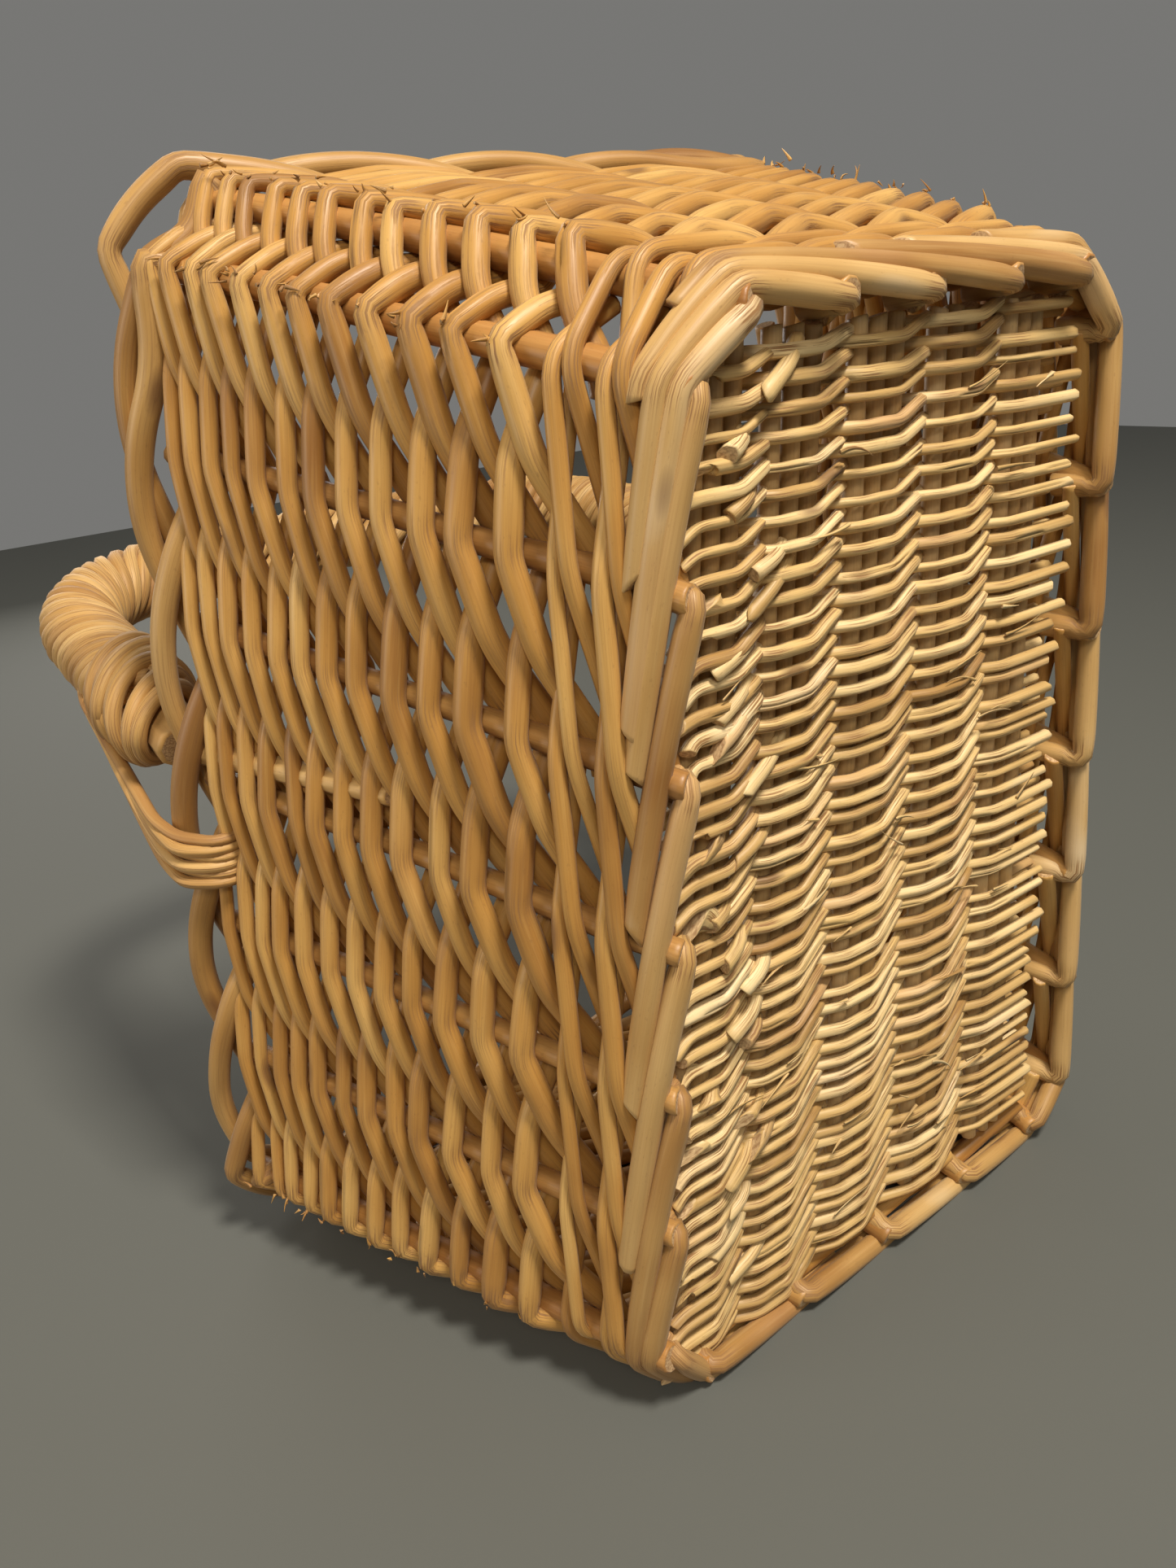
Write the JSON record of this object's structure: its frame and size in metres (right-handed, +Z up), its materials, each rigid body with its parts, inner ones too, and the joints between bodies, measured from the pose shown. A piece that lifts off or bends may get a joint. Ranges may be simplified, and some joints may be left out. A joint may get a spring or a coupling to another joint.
{
  "type": "laundry basket",
  "caption": "Oblong tapered laundry basket in peeled willow, open French randed walls, woven stick floor, bent borders and one roped overhead handle.",
  "frame": {"origin": "under the middle of the whole object, on the surface that the foot rods stand on", "axes": "+Z up from the foot to the rim and handle, X along the long walls with the narrow end at +X, the front long wall faces -Y"},
  "size_m": [0.524, 0.4648, 0.4983],
  "materials": {
    "base_stick": "peeled willow, dry, faint satin",
    "floor_weaver": "peeled willow, dry, faint satin",
    "corner_post": "peeled willow, orange, faint satin",
    "stake": "peeled willow, faint satin",
    "wall_weaver": "peeled willow, honey coloured, faint satin",
    "foot_rod": "peeled willow, scuffed, faint satin",
    "rim_rod": "peeled willow, honey brown, faint satin",
    "handle_rod": "peeled willow, honey coloured, worn satin"
  },
  "bodies": {
    "root": {"back_foot_rods": "foot_rod", "back_handle_lashing": "handle_rod", "back_handle_tails": "handle_rod", "back_left_corner_foot_rod": "foot_rod", "back_left_corner_rim_rods": "rim_rod", "back_left_corner_wale": "wall_weaver", "back_left_corner_weave": "wall_weaver", "back_left_posts": "corner_post", "back_right_corner_foot_rod": "foot_rod", "back_right_corner_rim_rods": "rim_rod", "back_right_corner_wale": "wall_weaver", "back_right_corner_weave": "wall_weaver", "back_right_posts": "corner_post", "back_rim_rods": "rim_rod", "back_stakes": "stake", "back_wale": "wall_weaver", "back_weave": "wall_weaver", "base_sticks_1": "base_stick", "base_sticks_2": "base_stick", "base_sticks_3": "base_stick", "base_sticks_4": "base_stick", "base_sticks_5": "base_stick", "base_weave": "floor_weaver", "front_foot_rods": "foot_rod", "front_handle_lashing": "handle_rod", "front_handle_tails": "handle_rod", "front_left_corner_foot_rod": "foot_rod", "front_left_corner_rim_rods": "rim_rod", "front_left_corner_wale": "wall_weaver", "front_left_corner_weave": "wall_weaver", "front_left_posts": "corner_post", "front_right_corner_foot_rod": "foot_rod", "front_right_corner_rim_rods": "rim_rod", "front_right_corner_wale": "wall_weaver", "front_right_corner_weave": "wall_weaver", "front_right_posts": "corner_post", "front_rim_rods": "rim_rod", "front_stakes": "stake", "front_wale": "wall_weaver", "front_weave": "wall_weaver", "handle_bow": "handle_rod", "handle_roping": "handle_rod", "left_foot_rods": "foot_rod", "left_rim_rods": "rim_rod", "left_stakes": "stake", "left_wale": "wall_weaver", "left_weave": "wall_weaver", "right_foot_rods": "foot_rod", "right_rim_rods": "rim_rod", "right_stakes": "stake", "right_wale": "wall_weaver", "right_weave": "wall_weaver"}
  },
  "joints": []
}
